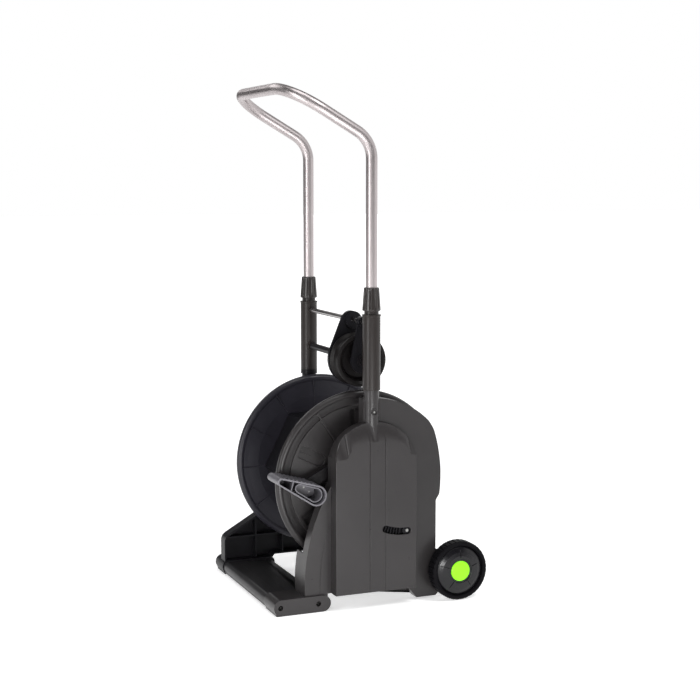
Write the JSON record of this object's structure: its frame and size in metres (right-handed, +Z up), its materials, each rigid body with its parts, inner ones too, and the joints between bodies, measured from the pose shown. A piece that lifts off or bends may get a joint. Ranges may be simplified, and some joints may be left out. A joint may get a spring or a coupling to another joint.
{
  "type": "hose reel cart",
  "caption": "Upright wheeled garden hose reel cart with a telescopic push handle, a foot pedal that winds the reel through gears and a sliding hose guide.",
  "frame": {"origin": "on the ground under the middle of the cart", "axes": "+Z up, -Y towards the foot plate and pedal, +Y towards the wheels, +X towards the geared side"},
  "size_m": [0.4236, 0.4413, 1.0146],
  "materials": {
    "shell_grey": "satin moulded",
    "shell_black": "satin moulded",
    "upright_black": "satin powder coat",
    "bush_grey": "smooth",
    "handle_metal": "satin anodised",
    "rod_metal": "satin",
    "rod_black": "satin",
    "steel": "zinc plated",
    "brass": "turned",
    "seal_rubber": "matt",
    "pedal_grey": "satin moulded",
    "roller_black": "satin moulded",
    "wheel_black": "moulded tread",
    "disc_black": "gloss",
    "cap_lime": "gloss"
  },
  "bodies": {
    "frame": {"right_side_panel": "shell_grey", "left_side_panel": "shell_black", "gear_cover": "shell_grey", "cover_screws": "steel", "foot_plate": "shell_grey", "right_foot_cap": "shell_grey", "left_foot_cap": "shell_black", "foot_screws": "steel", "right_upright": "upright_black", "left_upright": "upright_black", "upright_screws": "steel", "upper_guide_rod": "rod_metal", "lower_guide_rod": "rod_black", "right_collet": "bush_grey", "left_collet": "bush_grey", "wheel_axle": "steel", "axle_clips": "steel", "right_reel_bush": "bush_grey", "left_reel_bush": "bush_grey", "pedal_bush": "bush_grey"},
    "handle": {"handle_tube": "handle_metal", "handle_end_plugs": "shell_black"},
    "right_clamp": {"right_clamp_nut": "shell_black"},
    "left_clamp": {"left_clamp_nut": "shell_black"},
    "reel": {"right_flange": "shell_grey", "left_flange": "shell_black", "reel_core": "shell_black", "reel_shaft": "brass", "reel_screws": "steel", "feed_pipe": "brass", "hose_outlet": "shell_black", "shaft_seals": "seal_rubber"},
    "inlet_swivel": {"inlet_elbow": "shell_black"},
    "pedal": {"foot_pedal": "pedal_grey", "pedal_arm": "rod_black", "pedal_shaft": "steel", "sector_gear": "shell_black", "stop_screw": "steel", "pedal_screws": "steel"},
    "pinion": {"drive_pinion": "steel"},
    "hose_guide": {"guide_carriage": "shell_black", "guide_strap": "shell_black", "guide_sleeve": "bush_grey", "guide_circlips": "steel"},
    "roller": {"guide_roller": "roller_black"},
    "right_wheel_set": {"right_wheel": "wheel_black", "right_wheel_disc": "disc_black", "right_wheel_cap": "cap_lime"},
    "left_wheel_set": {"left_wheel": "wheel_black", "left_wheel_disc": "disc_black", "left_wheel_cap": "cap_lime"}
  },
  "joints": [
    {"name": "reel_spin", "type": "hinge", "parent": "frame", "child": "reel", "pos_m": [0, -0.01565, 0.2427], "axis": [1, 0, 0], "continuous": true},
    {"name": "inlet_swing", "type": "hinge", "parent": "frame", "child": "inlet_swivel", "pos_m": [-0.19, -0.01565, 0.2427], "axis": [1, 0, 0], "range_deg": [-120, 120]},
    {"name": "pedal_swing", "type": "hinge", "parent": "frame", "child": "pedal", "pos_m": [0.15, 0.04435, 0.26497], "axis": [-1, 0, 0], "range_deg": [0, 23.5]},
    {"name": "pinion_turn", "type": "hinge", "parent": "frame", "child": "pinion", "pos_m": [0.18, -0.01565, 0.2427], "axis": [-1, 0, 0], "range_deg": [-60.2, 0]},
    {"name": "handle_slide", "type": "slide", "parent": "frame", "child": "handle", "axis": [0, 0, -1], "range_m": [0, 0.205]},
    {"name": "right_clamp_turn", "type": "hinge", "parent": "frame", "child": "right_clamp", "pos_m": [0.17, -0.01565, 0.604], "axis": [0, 0, 1], "range_deg": [0, 60]},
    {"name": "left_clamp_turn", "type": "hinge", "parent": "frame", "child": "left_clamp", "pos_m": [-0.17, -0.01565, 0.604], "axis": [0, 0, 1], "range_deg": [0, 60]},
    {"name": "guide_slide", "type": "slide", "parent": "frame", "child": "hose_guide", "axis": [1, 0, 0], "range_m": [-0.195, 0.016]},
    {"name": "guide_roller_spin", "type": "hinge", "parent": "hose_guide", "child": "roller", "pos_m": [0.1, -0.01565, 0.4797], "axis": [1, 0, 0], "continuous": true},
    {"name": "right_wheel_spin", "type": "hinge", "parent": "frame", "child": "right_wheel_set", "pos_m": [0.19, 0.16135, 0.0593], "axis": [1, 0, 0], "continuous": true},
    {"name": "left_wheel_spin", "type": "hinge", "parent": "frame", "child": "left_wheel_set", "pos_m": [-0.19, 0.16135, 0.0593], "axis": [1, 0, 0], "continuous": true}
  ],
  "couplings": [
    {"joint": "pinion_turn", "follows": "pedal_swing", "ratio": -2.5556}
  ]
}
